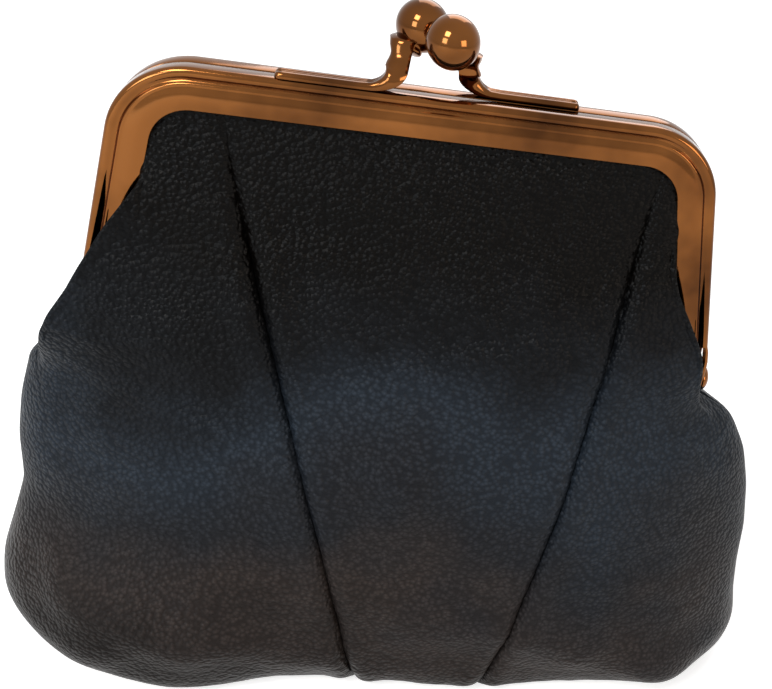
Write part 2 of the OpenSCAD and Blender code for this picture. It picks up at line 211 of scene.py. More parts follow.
@dataclass(frozen=True)
class LeatherFinish:
    """Black full grain leather: pebbled, creased and satin, with painted sheen and painted shade in bands by
    height.

    A blue painted sheen lies in the middle, a brown painted reflection low down and painted shade near black
    at the top; the bands follow the height over the floor, as shares of painted_sheen_height, and wander with
    clouds. The base colour is also multiplied by painted shade in the grain's hollows.
    """

    name: str = "black_leather"
    grain_mm: float = 0.82
    pore_share: float = 0.55
    painted_sheen_height: float = 104.0
    wander: float = 0.75
    specular: float = 0.06
    roughness: tuple[float, float] = (0.30, 0.46)
    # Painted sheen and painted shade by height: brown painted reflection low, blue painted sheen in the
    # middle, near black painted shade at the top.
    painted_sheen_tones: tuple[tuple[float, Triple], ...] = (
        (0.02, (0.0170, 0.0135, 0.0120)),
        (0.20, (0.0420, 0.0330, 0.0300)),
        (0.33, (0.0220, 0.0230, 0.0270)),
        (0.50, (0.0270, 0.0360, 0.0490)),
        (0.68, (0.0080, 0.0090, 0.0110)),
        (0.84, (0.0020, 0.0015, 0.0012)),
    )

    def material(self) -> bpy.types.Material:
        """Builds the material."""
        tree = Tree(self.name)
        per = 1.0 / (self.grain_mm * MM)
        grain = tree.cells("SMOOTH_F1", tree.place((1.0, 1.0, 1.15), 0.5), per, Smoothness=0.22)
        pores = tree.cells("DISTANCE_TO_EDGE", tree.place((1.0, 1.0, 1.6), -0.3), per * self.pore_share)
        gullies = tree.sums("MINIMUM", tree.sums("MULTIPLY", pores, 5.0), 1.0)
        creases = tree.clouds(330.0, 4.0, 0.62, tree.place((0.55, 0.55, 1.7), 0.35))
        fine = tree.clouds(5200.0, 2.0, 0.6)
        pebbles = tree.sums("SUBTRACT", 1.0, grain)
        normal = tree.bump(creases, 0.00030, 0.45)
        normal = tree.bump(gullies, 0.00007, 0.45, normal)
        normal = tree.bump(pebbles, 0.00034, 0.85, normal)
        normal = tree.bump(fine, 0.00003, 0.3, normal)
        tree.join(normal, "Normal")
        # The base colour is painted sheen and painted shade in bands by height, shifted by clouds.
        height = tree.node("SeparateXYZ", None, {"Vector": tree.where.outputs["Object"]}).outputs["Z"]
        level = tree.sums("MULTIPLY", height, 1 / (self.painted_sheen_height * MM))
        drift = tree.sums("SUBTRACT", tree.clouds(24.0, 3.0, 0.55), 0.5)
        level = tree.sums("ADD", level, tree.sums("MULTIPLY", drift, self.wander))
        tone = tree.ramp(level, list(self.painted_sheen_tones))
        # Painted shade in the grain's hollows and painted glint on the pebble tops, multiplied into the base
        # colour.
        painted_grain_shade = tree.ramp(pebbles, [(0.40, (0.42, 0.42, 0.42)), (0.95, (1.0, 1.0, 1.0))])
        inputs = {"Fac": 1.0, "Color1": tone, "Color2": painted_grain_shade}
        mixed = tree.node("MixRGB", {"blend_type": "MULTIPLY"}, inputs)
        tree.join(mixed.outputs["Color"], "Base Color")
        tree.join(tree.remap(tree.clouds(60.0, 4.0), (0.3, 0.7), self.roughness), "Roughness")
        tree.put(IOR=1.5, Specular_IOR_Level=self.specular)
        return tree.material


@dataclass(frozen=True)
class MetalFinish:
    """Polished plating whose warm tint is a painted warm reflection, with cloudy darker patches of painted
    dark reflection and faint drawing marks.
    """

    name: str = "polished_plate"
    # base is a painted warm reflection on the plating, deep a painted dark reflection.
    base: Triple = (0.205, 0.074, 0.018)
    deep: Triple = (0.070, 0.024, 0.006)
    roughness: tuple[float, float] = (0.06, 0.18)

    def material(self) -> bpy.types.Material:
        """Builds the material."""
        tree = Tree(self.name)
        # Painted reflections: the clouds mix the warm painted reflection with darker painted reflection in
        # the base colour.
        clouds = tree.clouds(38.0, 4.0, 0.6)
        tone = tree.ramp(clouds, [(0.36, self.deep), (0.60, self.base)])
        tree.join(tone, "Base Color")
        drawn = tree.clouds(900.0, 3.0, 0.6, tree.place((0.06, 1.0, 1.0)))
        tree.join(tree.remap(tree.clouds(160.0, 5.0, 0.7), (0.35, 0.75), self.roughness), "Roughness")
        normal = tree.bump(clouds, 0.0006, 0.25)
        normal = tree.bump(drawn, 0.00002, 0.25, normal)
        tree.join(normal, "Normal")
        tree.put(Metallic=1.0, Coat_Weight=0.10, Coat_Roughness=0.04, Coat_IOR=1.5)
        return tree.material


@dataclass(frozen=True)
class ClothFinish:
    """Dark lining cloth with a fine woven rib."""

    name: str = "lining_cloth"
    yarn_mm: float = 0.32

    def material(self) -> bpy.types.Material:
        """Builds the material."""
        tree = Tree(self.name)
        turns = math.pi / (self.yarn_mm * MM)
        weave = tree.sums(
            "MULTIPLY",
            tree.bands("X", turns / 20, 1.2, Detail=1.0),
            tree.bands("Z", turns / 20, 1.2, Detail=1.0),
        )
        mottled = tree.sums("ADD", weave, tree.sums("MULTIPLY", tree.clouds(60.0), 0.4))
        tone = tree.ramp(mottled, [(0.2, (0.020, 0.019, 0.022)), (0.95, (0.075, 0.070, 0.074))])
        tree.join(tone, "Base Color")
        tree.join(tree.bump(weave, 0.00012, 0.6), "Normal")
        tree.put(Roughness=0.82, Sheen_Weight=0.25, Sheen_Roughness=0.5)
        return tree.material


@dataclass(frozen=True)
class PaperFinish:
    """Twisted paper cord that packs the channel."""

    name: str = "paper_cord"

    def material(self) -> bpy.types.Material:
        """Builds the material."""
        tree = Tree(self.name)
        twist = tree.bands("DIAGONAL", 420.0, 2.0)
        tone = tree.ramp(twist, [(0.1, (0.30, 0.22, 0.13)), (0.9, (0.55, 0.44, 0.28))])
        tree.join(tone, "Base Color")
        tree.join(tree.bump(twist, 0.0001, 0.7), "Normal")
        tree.put(Roughness=0.85)
        return tree.material


@dataclass(frozen=True)
class PaleFloor:
    """Pale surface that the camera and the metal see as near white, and that keeps the shadow."""

    name: str = "pale_floor"
    tone: Triple = (0.80, 0.80, 0.80)
    glow: float = 0.63

    def material(self) -> bpy.types.Material:
        """Builds the material."""
        tree = Tree(self.name)
        dim = tuple(0.98 * c for c in self.tone)
        faint = tree.ramp(tree.clouds(9.0, 2.0), [(0.3, dim), (0.7, self.tone)])
        tree.join(faint, "Base Color")
        tree.put(Roughness=0.9, Specular_IOR_Level=0.1, Emission_Color=(1.0, 1.0, 1.0, 1.0))
        rays = tree.node("LightPath")
        seen = tree.sums("MAXIMUM", rays.outputs["Is Camera Ray"], rays.outputs["Is Glossy Ray"])
        seen = tree.sums("MAXIMUM", seen, rays.outputs["Is Transmission Ray"])
        tree.join(tree.sums("MULTIPLY", seen, self.glow), "Emission Strength")
        return tree.material


class Workbench:
    """Modelling moves that all the pieces share."""

    @staticmethod
    def clear() -> None:
        """Leaves edit mode and selects nothing."""
        if bpy.context.object and bpy.context.object.mode != "OBJECT":
            bpy.ops.object.mode_set(mode="OBJECT")
        bpy.ops.object.select_all(action="DESELECT")

    @staticmethod
    def pick(obj: bpy.types.Object) -> None:
        """Makes one object the only selected and active one."""
        Workbench.clear()
        obj.select_set(True)
        bpy.context.view_layer.objects.active = obj

    @staticmethod
    def grid(name: str, rows: np.ndarray) -> bpy.types.Object:
        """Shapes a grid primitive to rows of points.

        Args:
            name: The piece's name.
            rows: Points in millimetres, rows by columns by three.

        Returns:
            The object, with its origin at the frame's origin.
        """
        Workbench.clear()
        tall, wide = rows.shape[:2]
        bpy.ops.mesh.primitive_grid_add(
            x_subdivisions=wide - 1, y_subdivisions=tall - 1, size=1.0, location=(0.0, 0.0, 0.0)
        )
        obj = bpy.context.object
        obj.name = obj.data.name = name
        flat = np.empty(len(obj.data.vertices) * 3)
        obj.data.vertices.foreach_get("co", flat)
        flat = flat.reshape(-1, 3)
        col = np.rint((flat[:, 0] + 0.5) * (wide - 1)).astype(int)
        row = np.rint((flat[:, 1] + 0.5) * (tall - 1)).astype(int)
        obj.data.vertices.foreach_set("co", (rows[row, col] * MM).ravel())
        obj.data.update()
        return obj

    @staticmethod
    def sweep(name: str, rings: list[np.ndarray]) -> bpy.types.Object:
        """Extrudes a circle primitive from ring to ring, in edit mode.

        Args:
            name: The piece's name.
            rings: Closed rings of points in millimetres, all of one length.

        Returns:
            The object, closed and facing outward.
        """
        Workbench.clear()
        count = len(rings[0])
        bpy.ops.mesh.primitive_circle_add(
            vertices=count, radius=1.0, fill_type="NGON", location=(0.0, 0.0, 0.0)
        )
        obj = bpy.context.object
        obj.name = obj.data.name = name
        bpy.ops.object.mode_set(mode="EDIT")
        bpy.ops.mesh.select_mode(type="VERT")
        mesh = bmesh.from_edit_mesh(obj.data)
        mesh.verts.ensure_lookup_table()
        angles = [math.atan2(v.co.y, v.co.x) % math.tau for v in mesh.verts]
        order = {v: i for i, v in enumerate(sorted(range(count), key=lambda k: angles[k]))}
        for v in mesh.verts:
            v.co = Vector(rings[0][order[v.index]]) * MM
        bmesh.update_edit_mesh(obj.data)
        held = rings[0]
        for ring in rings[1:]:
            places = {tuple(round(c, 9) for c in Vector(p) * MM): i for i, p in enumerate(held)}
            bpy.ops.mesh.extrude_region_move()
            mesh = bmesh.from_edit_mesh(obj.data)
            for v in [v for v in mesh.verts if v.select]:
                at = places.get(tuple(round(c, 9) for c in v.co))
                if at is None:
                    at = int(np.argmin([(Vector(p) * MM - v.co).length for p in held]))
                v.co = Vector(ring[at]) * MM
            bmesh.update_edit_mesh(obj.data)
            held = ring
        bpy.ops.mesh.select_all(action="SELECT")
        bpy.ops.mesh.normals_make_consistent(inside=False)
        bpy.ops.object.mode_set(mode="OBJECT")
        return obj

    @staticmethod
    def apply(obj: bpy.types.Object, kind: str, **settings: object) -> None:
        """Adds a modifier of that kind and applies it."""
        Workbench.pick(obj)
        made = obj.modifiers.new(kind.title(), kind)
        for key, value in settings.items():
            setattr(made, key, value)
        bpy.ops.object.modifier_apply(modifier=made.name)

    @staticmethod
    def smooth(obj: bpy.types.Object, degrees: float = 180.0) -> None:
        """Shades smooth up to an angle."""
        Workbench.pick(obj)
        if degrees >= 180.0:
            bpy.ops.object.shade_smooth()
        else:
            bpy.ops.object.shade_smooth_by_angle(angle=math.radians(degrees))

    @staticmethod
    def join(name: str, pieces: list[bpy.types.Object]) -> bpy.types.Object:
        """Joins pieces of one material into one object."""
        Workbench.clear()
        for piece in pieces:
            piece.select_set(True)
        bpy.context.view_layer.objects.active = pieces[0]
        if len(pieces) > 1:
            bpy.ops.object.join()
        pieces[0].name = pieces[0].data.name = name
        return pieces[0]

    @staticmethod
    def turned(obj: bpy.types.Object, name: str, how: Matrix) -> bpy.types.Object:
        """A copy with its own mesh, moved by a matrix that is applied to it."""
        twin = obj.copy()
        twin.data = obj.data.copy()
        twin.name = twin.data.name = name
        bpy.context.collection.objects.link(twin)
        twin.data.transform(how)
        if how.determinant() < 0:
            twin.data.flip_normals()
        return twin

    @staticmethod
    def dress(obj: bpy.types.Object, material: bpy.types.Material) -> None:
        """Gives an object one material."""
        obj.data.materials.clear()
        obj.data.materials.append(material)


HALF_TURN = Matrix.Rotation(math.pi, 4, "Z")
MIRROR_X = Matrix.Scale(-1, 4, Vector((1, 0, 0)))


def report(obj: bpy.types.Object) -> None:
    """Logs a finished piece."""
    LOG.info("%s: %d vertices, %d faces", obj.name, len(obj.data.vertices), len(obj.data.polygons))


@dataclass
class ChannelFrame:
    """One half of the rolled channel frame, with its two hinge tabs."""

    outline: Outline = OUTLINE
    metal: bpy.types.Material | None = None
    bead_r: float = 0.82
    groove_n: float = 1.85
    groove_deep: float = 0.42
    crown: float = 0.30
    lip_n: float = 4.4
    edge_r: float = 0.32
    arc_steps: int = 22
    tab_t: float = 0.6
    tab_r: float = 2.4
    front_tab_x: float = 51.3
    rear_tab_x: float = 50.6

    def section(self) -> np.ndarray:
        """The channel's closed section, as distance from the rim and height toward the face."""
        o = self.outline
        low, top, r = o.gap, o.face_y, self.bead_r
        points = [(self.lip_n, low), (0.5, low), (0.12, low + 0.12), (0.0, low + 0.45), (0.0, top - r - 0.4)]
        for i in range(13):
            a = math.radians(180 - 132 * i / 12)
            points.append((r + r * math.cos(a), top - r + r * math.sin(a)))
        g = self.groove_n
        deep = self.groove_deep
        points += [(g - 0.22, top - 0.86 * deep), (g, top - deep), (g + 0.16, top - 0.8 * deep)]
        points += [(g + 0.30, top - 0.13), (g + 0.42, top - 0.02)]
        points += [(g + 0.60, top + 0.01), (g + 0.72, top - 0.045)]
        start, end = g + 0.86, o.face_w - self.edge_r
        for i in range(12):
            k = i / 11
            points.append((start + (end - start) * k, top - 0.02 + self.crown * math.sin(math.pi * k) * 0.8))
        for i in range(1, 6):
            a = math.radians(90 - 90 * i / 5)
            lift = self.edge_r * math.sin(a)
            points.append((end + self.edge_r * math.cos(a), top - 0.02 - self.edge_r + lift))
        inner = top - o.sheet
        points += [(o.face_w - 0.04, inner + 0.05), (o.face_w - 0.15, inner)]
        points += [(o.sheet + 0.4, inner), (o.sheet, inner - 0.4), (o.sheet, low + o.sheet + 0.35)]
        points += [(o.sheet + 0.35, low + o.sheet), (self.lip_n, low + o.sheet)]
        return np.array(points)

    def path(self) -> list[tuple[float, float, float, float]]:
        """Stations along the frame: where the rim is, and the inward direction there."""
        o = self.outline
        a0 = o.splay
        cx, cz, r = o.corner_x, o.corner_z, o.corner_r
        leg = (cz + r * math.sin(a0) - o.hinge_z - o.channel_end) / math.cos(a0)
        c0, s0 = math.cos(a0), math.sin(a0)
        right = []
        for d in (leg, leg - 0.15, leg * 0.75, leg * 0.5, leg * 0.25, leg * 0.05):
            right.append((cx + r * c0 + d * s0, cz + r * s0 - d * c0, c0, s0))
        for i in range(self.arc_steps + 1):
            a = a0 + (math.pi / 2 - a0) * i / self.arc_steps
            right.append((cx + r * math.cos(a), cz + r * math.sin(a), math.cos(a), math.sin(a)))
        for k in (0.93, 0.66, 0.33):
            right.append((cx * k, cz + r, 0.0, 1.0))
        left = [(-x, z, -u, v) for x, z, u, v in reversed(right)]
        return right + [(0.0, cz + r, 0.0, 1.0)] + left

    def tab(self, x0: float) -> bpy.types.Object:
        """Strap from the channel's end to the rivet, on the right, for the front frame."""
        o = self.outline
        rings = []
        round_end = (4, 18, 36, 54, 72, 90)
        stations = [(o.hinge_z - self.tab_r * math.cos(math.radians(t)), t) for t in round_end]
        stations += [(o.hinge_z + h, 90.0) for h in (1.6, 3.6, 4.4, 6.4, 8.6, 11.8)]
        for z, t in stations:
            half = self.tab_r * math.sin(math.radians(t))
            k = min(1.0, max(0.0, (z - o.hinge_z) / 3.6))
            front, back = -half * (1 - k) - 2.3 * k, half * (1 - k) - 0.32 * k
            seat = float(o.leg_x(z)) - 0.10 / math.cos(o.splay)
            m = min(1.0, max(0.0, (z - o.hinge_z - 4.0) / 4.6))
            x_out = (x0 + self.tab_t) * (1 - m) + seat * m
            e = min(0.12, (back - front) * 0.2)
            x_in = x_out - self.tab_t
            fore = [(x_in, front + e, z), (x_in + e, front, z), (x_out - e, front, z), (x_out, front + e, z)]
            aft = [(x_out, back - e, z), (x_out - e, back, z), (x_in + e, back, z), (x_in, back - e, z)]
            rings.append(np.array(fore + aft))
        return Workbench.sweep("hinge_tab", rings)

    def build(self) -> None:
        """Builds and dresses the front and the rear half."""
        section = self.section()
        rings = [np.array([(x - n * u, -y, z - n * v) for n, y in section]) for x, z, u, v in self.path()]
        for side, tab_x in ((Face.FRONT, self.front_tab_x), (Face.REAR, self.rear_tab_x)):
            channel = Workbench.sweep("channel", rings)
            right = self.tab(tab_x)
            left = Workbench.turned(right, "tab_left", MIRROR_X)
            whole = Workbench.join(f"{side.name.lower()}_channel_frame", [channel, right, left])
            if side is Face.REAR:
                whole.data.transform(HALF_TURN)
            Workbench.smooth(whole, 38.0)
            Workbench.dress(whole, self.metal)
            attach(whole, f"{side.name.lower()}_half")
            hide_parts(f"{side.name.lower()}_frame")
            report(whole)


@dataclass
class HingeRivet:
    """Domed rivets at both hinges, with a rolled tail inside."""

    metal: bpy.types.Material | None = None
    hinge_z: float = 64.0
    head_d: float = 4.7
    head_h: float = 1.4
    shank_r: float = 1.2
    head_x: float = 51.95
    tail_x: float = 50.55

    def profile(self) -> list[tuple[float, float]]:
        """Radius and place along the axis, from the tail to the top of the head."""
        r, tail, head = self.head_d / 2, self.tail_x, self.head_x
        points = [(0.02, tail - 0.35), (0.5, tail - 0.38), (0.9, tail - 0.62), (1.4, tail - 0.65)]
        points += [(1.85, tail - 0.45), (2.0, tail - 0.15), (1.9, tail)]
        points += [(self.shank_r, tail), (self.shank_r, head)]
        points += [(r - 0.12, head), (r, head + 0.12), (r - 0.02, head + 0.32)]
        for i in range(1, 10):
            a = math.radians(90 * i / 9)
            points.append(((r - 0.16) * math.cos(a) + 0.02, head + 0.34 + (self.head_h - 0.34) * math.sin(a)))
        return points

    def build(self) -> None:
        """Builds both rivets."""
        angles = np.linspace(0.0, math.tau, 40, endpoint=False)
        rings = [
            np.array([(x, r * math.cos(a), self.hinge_z + r * math.sin(a)) for a in angles])
            for r, x in self.profile()
        ]
        right = Workbench.sweep("right_rivet", rings)
        left = Workbench.turned(right, "left_rivet", MIRROR_X)
        for piece, node in ((right, "right_hinge_rivet"), (left, "left_hinge_rivet")):
            Workbench.smooth(piece, 40.0)
            Workbench.dress(piece, self.metal)
            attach(piece, "rear_half")
            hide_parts(node)
            report(piece)


@dataclass
class BallClasp:
    """The crossing ball clasp: on each half a strip that sweeps up into a half tube under a ball."""

    metal: bpy.types.Material | None = None
    top_z: float = 109.0
    ball_d: float = 7.8
    lift: float = 8.6
    pitch: float = 4.4
    ball_gap: float = 0.2
    foot_l: float = 13.0
    foot_w: float = 2.9
    foot_y: float = 1.625
    crown: float = 1.0
    neck_w: float = 3.7
    neck_d: float = 3.3
    bend_r: float = 2.4
    bend_steps: int = 14
    hollow: float = 1.7

    @property
    def ball(self) -> np.ndarray:
        """Centre of the front half's ball."""
        r = self.ball_d / 2
        x = self.pitch / 2
        return np.array([-x, math.sqrt((r + self.ball_gap / 2) ** 2 - x * x), self.top_z + self.lift])

    def arm_rings(self) -> list[np.ndarray]:
        """Rings of the arm from the strip's free end up to the ball."""
        r = self.ball_d / 2
        side = -self.pitch / 2 - 1.4
        foot_end = side - self.neck_d - self.bend_r
        bend_h = self.crown + self.bend_r
        neck_top = self.top_z + self.lift - r * 0.42
        top_y = self.ball[1] - r / 3
        stations = []
        tip = ((1.0, 0.5, 0.35), (0.992, 0.74, 0.7), (0.975, 0.9, 0.92), (0.95, 0.98, 1.0))
        strip = ((0.9, 1.0, 1.0), (0.6, 1.0, 1.0), (0.3, 1.0, 1.0), (0.08, 1.0, 1.0))
        for k, w, h in tip + strip:
            x = foot_end - self.foot_l * k
            stations.append((x, -self.foot_y, self.top_z, 0.0, self.foot_w * w, self.crown * h, 0.0, h))
        for i in range(1, self.bend_steps + 1):
            a = math.pi / 2 * i / self.bend_steps
            k = math.sin(a) ** 1.5
            x = foot_end + (self.bend_r + self.neck_d) * math.sin(a)
            z = self.top_z + bend_h * (1 - math.cos(a))
            width = self.foot_w + (self.neck_w - self.foot_w) * k
            height = self.crown + (self.neck_d - self.crown) * k
            hollow = self.hollow * math.sin(a) ** 4
            stations.append((x, self.rise_y(z, neck_top, top_y), z, a, width, height, hollow, 1 - k))
        up = math.pi / 2
        for i in range(1, 9):
            k = i / 8
            z = self.top_z + bend_h + (neck_top - self.top_z - bend_h) * k
            waist = 0.75 * math.sin(math.pi * min(1.0, k / 0.8)) ** 2
            flare = 0.75 * max(0.0, k - 0.5) ** 2 / 0.25
            width, height = self.neck_w - waist + flare, self.neck_d - 0.5 * waist + flare * 0.3
            y = self.rise_y(z, neck_top, top_y)
            stations.append((side + 0.5 * k, y, z, up, width, height, self.hollow, 0.0))
        for rise, share in ((0.18, 0.93), (0.32, 0.78), (0.40, 0.55)):
            z = neck_top + rise
            width, height, hollow = (self.neck_w + 0.75) * share, self.neck_d * share, self.hollow * share
            y = self.rise_y(z, neck_top, top_y)
            stations.append((side + 0.5, y, z, up, width, height, hollow, 0.0))
        return [self.ring(*s) for s in stations]

    def rise_y(self, z: float, neck_top: float, top_y: float) -> float:
        """How the arm leans across to the other half as it rises."""
        low = self.top_z + self.crown
        return -self.foot_y + (top_y + self.foot_y) * max(0.0, (z - low) / (neck_top - low)) ** 1.2

    @staticmethod
    def ring(
        x: float, y: float, z: float, tilt: float, width: float, height: float, hollow: float, ribbed: float
    ) -> np.ndarray:
        """One ring of the arm.

        Args:
            x: Place along the frame.
            y: Place across it.
            z: Height of the underside.
            tilt: How far the arm has turned upward.
            width: Width across the frame.
            height: Crown over the underside.
            hollow: Depth of the hollow behind the half tube.
            ribbed: How far the strip's edges stand up, from 0 to 1.

        Returns:
            The ring's points.
        """
        c, n, half = math.cos(tilt), math.sin(tilt), width / 2
        points = []
        for i in range(19):
            b = math.radians(90 - 180 * i / 18)
            u = math.sin(b)
            rib = ribbed * 0.34 * math.exp(-((abs(u) - 0.18) / 0.26) ** 2)
            v = height * (math.cos(b) ** 0.55) - rib + 0.10
            points.append((x - v * n, y + half * u, z + v * c))
        for i in range(13):
            b = math.radians(-90 + 180 * i / 12)
            v = hollow * math.cos(b)
            points.append((x - v * n, y + 0.95 * half * math.sin(b), z + v * c))
        return np.array(points)

    def ball_rings(self) -> list[np.ndarray]:
        """Rings of the ball with the crimped collar where the half tube holds it."""
        r = self.ball_d / 2
        foot = np.array([self.ball[0] - 1.6, self.ball[1] - r * 0.75, self.ball[2] - r * 1.1])
        axis = self.ball - foot
        axis /= np.linalg.norm(axis)
        side = np.cross(axis, (0.0, 1.0, 0.0))
        side /= np.linalg.norm(side)
        over = np.cross(axis, side)
        profile = [(0.02, -r - 0.55), (1.1, -r - 0.55), (1.38, -r - 0.45), (1.5, -r - 0.2)]
        profile += [(1.42, -r + 0.12), (1.46, -r + 0.22)]
        start = math.degrees(math.asin(1.46 / r))
        for i in range(1, 34):
            a = math.radians(start + (179.3 - start) * i / 33)
            profile.append((r * math.sin(a), -r * math.cos(a)))
        angles = np.linspace(0.0, math.tau, 56, endpoint=False)
        return [
            np.array([self.ball + axis * h + q * (side * math.cos(a) + over * math.sin(a)) for a in angles])
            for q, h in profile
        ]

    def build(self) -> None:
        """Builds both arms and both balls, the rear ones turned by half a turn."""
        arm = Workbench.sweep("front_arm", self.arm_rings())
        ball = Workbench.sweep("front_ball", self.ball_rings())
        for piece in (arm, ball):
            Workbench.smooth(piece, 48.0)
            Workbench.dress(piece, self.metal)
        for piece, kind in ((arm, "arm"), (ball, "ball")):
            twin = Workbench.turned(piece, f"rear_{kind}", HALF_TURN)
            for part, side in ((piece, "front"), (twin, "rear")):
                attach(part, f"{side}_half")
                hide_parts(f"{side}_clasp_{kind}")
                report(part)


@dataclass
class BagShell:
    """The soft body: how each face runs from the bottom seam up into the frame."""

    outline: Outline = OUTLINE
    depth: float = 20.2
    belly_z: float = 18.3
    base_d: float = 12.0
    frame_y: float = 2.2
    mouth_z: float = 104.0
    fullness: float = 1.7
    heights: tuple[float, ...] = (0, 3, 7, 12, 18, 25, 33, 42, 50, 57, 62, 67, 73, 79, 85, 91, 97, 104)
    left: tuple[float, ...] = (
        *(58.9, 63.8, 66.5, 67.7, 67.2, 65.2, 63.1, 63.1, 62.0),
        *(60.2, 59.0, 55.9, 52.0, 48.8, 45.4, 41.0, 36.6, 30.0),
    )
    right: tuple[float, ...] = (
        *(60.8, 67.0, 70.6, 71.1, 69.7, 68.9, 68.4, 66.5, 63.8),
        *(59.6, 53.0, 50.0, 48.6, 45.0, 41.0, 37.0, 34.0, 30.0),
    )
    lobes: tuple[float, float] = (0.28, 0.0)
    lobe_at: float = 0.57
    seam_z: tuple[float, ...] = (0.0, 20.0, 40.0, 60.0, 80.0, 95.0, 104.0)
    seam_left: tuple[float, ...] = (-3.0, -7.3, -12.4, -18.1, -23.8, -28.0, -29.5)
    seam_right: tuple[float, ...] = (19.3, 23.7, 27.9, 31.2, 33.6, 35.6, 37.0)
    seam_deep: float = 1.5
    stitch: float = 3.1
    tuck: float = 1.65
    fullest: float = 0.062

    def __post_init__(self) -> None:
        """Rounds the width tables over a few millimetres of height."""
        self.fine = np.arange(-8.0, 112.0, 0.5)
        bell = np.exp(-((np.arange(-10, 11) * 0.5 / 1.7) ** 2))
        bell /= bell.sum()
        self.curves = {}
        for right, table in ((True, self.right), (False, self.left)):
            values = np.interp(self.fine, self.heights, table)
            values[self.fine < 0] = table[0] + (table[1] - table[0]) / 3 * self.fine[self.fine < 0]
            self.curves[right] = np.convolve(np.pad(values, 10, mode="edge"), bell, mode="valid")

    def depth_at(self, z: np.ndarray) -> np.ndarray:
        """Half depth of the middle above the belly."""
        k = np.clip((z - self.belly_z) / (self.mouth_z - 2.0 - self.belly_z), 0.0, 1.0)
        return self.frame_y + (self.depth - self.frame_y) * (1 - k**self.fullness)

    def rows(self, count: int) -> np.ndarray:
        """Half depth and height of the middle line at each row, by even steps along it."""
        pts = [(self.base_d * k, 0.0) for k in np.linspace(0.0, 1.0, 12)]
        for a in np.linspace(0.0, math.pi / 2, 40)[1:]:
            deep = self.base_d + (self.depth - self.base_d) * math.sin(a)
            pts.append((deep, self.belly_z * (1 - math.cos(a))))
        for z in np.linspace(self.belly_z, self.mouth_z, 160)[1:]:
            pts.append((float(self.depth_at(np.array(z))), z))
        line = np.array(pts)
        run = np.concatenate([[0.0], np.cumsum(np.linalg.norm(np.diff(line, axis=0), axis=1))])
        at = np.linspace(0.0, run[-1], count)
        return np.stack([np.interp(at, run, line[:, 0]), np.interp(at, run, line[:, 1])], 1)

    @staticmethod
    def step(value: np.ndarray | float, low: float, high: float) -> np.ndarray | float:
        """Smooth step from 0 at low to 1 at high."""
        k = np.clip((value - low) / (high - low), 0.0, 1.0)
        return k * k * (3 - 2 * k)

    def widths(self, z: float, right: bool) -> tuple[float, float]:
        """Half width of a face's sewn or framed edge, and how far the leather swells beside it."""
        held = float(self.outline.inset_x(np.array(max(72.0, min(z, self.mouth_z))), 5.0))
        out = float(np.interp(z, self.fine, self.curves[right]))
        k = float(self.step(z, 57.0, 71.0))
        edge = out * (1 - k) + held * k
        return edge, max(0.0, out - edge * (1 - self.fullest * k))

    def surface(self, a: np.ndarray, row: np.ndarray) -> np.ndarray:
        """Points of the face without folds.

        Args:
            a: Width shares from -1 to 1, one per column.
            row: Half depth and height of the row.

        Returns:
            The row's points, with Y counted forward from the parting plane.
        """
        deep, z = float(row[0]), float(row[1])
        u = 1 - np.abs(a)
        edge_r, swell_r = self.widths(z, True)
        edge_l, swell_l = self.widths(z, False)
        edge = np.where(a > 0, edge_r, edge_l)
        swell = np.where(a > 0, swell_r, swell_l)
        framed = float(self.step(z, 58.0, 71.0))
        under = framed * float(self.step(-z, -95.0, -86.0))
        pinch = self.tuck * under * self.step(u, 0.0, 0.006) * (1 - self.step(u, 0.012, 0.036))
        beyond = np.maximum(0.0, u - self.fullest)
        bulge = self.step(u, 0.014, self.fullest) * np.exp(-((beyond / 0.16) ** 2))
        x = np.sign(a) * ((1 - u) * edge - pinch + swell * bulge)
        y_edge = self.frame_y * float(self.step(z, 57.0, 68.0))
        y_base = y_edge + 2.1 * under * self.step(u, 0.003, 0.020)
        low = float(self.step(-z, -46.0, -10.0))
        wide = np.abs(a)
        lobe_h = np.where(a > 0, self.lobes[1], self.lobes[0])
        lobe = 1 + low * lobe_h * np.exp(-(((wide - self.lobe_at) / 0.26) ** 2))
        round_low = np.maximum(0.0, 1 - wide**5.0) ** 0.5 * lobe
        round_mid = np.maximum(0.0, 1 - wide**2.9) ** 0.6
        round_top = np.maximum(0.0, 1 - (0.88 * wide) ** 3.2) ** 0.7
        round_top = round_top * np.sqrt(np.maximum(0.0, 1 - wide**22))
        full = low * round_low + (1 - low) * ((1 - framed) * round_mid + framed * round_top)
        y = y_base + np.maximum(0.0, deep - y_base) * full
        return np.stack([x, y, np.full(a.shape, z)], 1)

    def seam_at(self, z: np.ndarray) -> tuple[np.ndarray, np.ndarray]:
        """X of the left and the right seam at each height."""
        return np.interp(z, self.seam_z, self.seam_left), np.interp(z, self.seam_z, self.seam_right)


